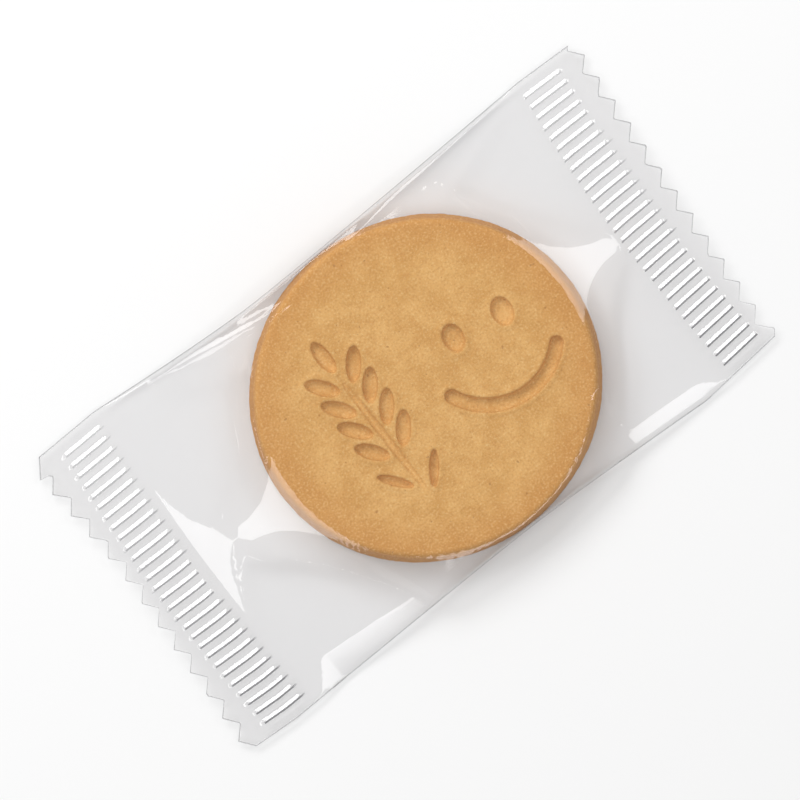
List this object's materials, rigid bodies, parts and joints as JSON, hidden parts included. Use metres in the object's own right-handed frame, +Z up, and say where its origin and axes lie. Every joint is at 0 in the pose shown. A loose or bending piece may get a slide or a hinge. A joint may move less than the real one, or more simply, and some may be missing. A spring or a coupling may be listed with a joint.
{
  "type": "round biscuit in a clear film pack",
  "caption": "Round golden shortbread biscuit with a pressed smile and ear of wheat, sealed in a clear film pack with ribbed, zigzag-cut end seals.",
  "frame": {"origin": "middle of the pack's underside, where it rests", "axes": "+X along the pack's length towards the end nearer the pressed smile, +Y across the pack towards the top of the pressed ear of wheat, +Z up out of the biscuit's pressed face"},
  "size_m": [0.1193, 0.0628, 0.0069],
  "materials": {
    "baked_shortbread": "dry, baked, finely pitted crumb",
    "clear_film": "thin clear glossy packaging film"
  },
  "bodies": {
    "root": {"biscuit": "baked_shortbread", "film_pack": "clear_film"}
  },
  "joints": []
}
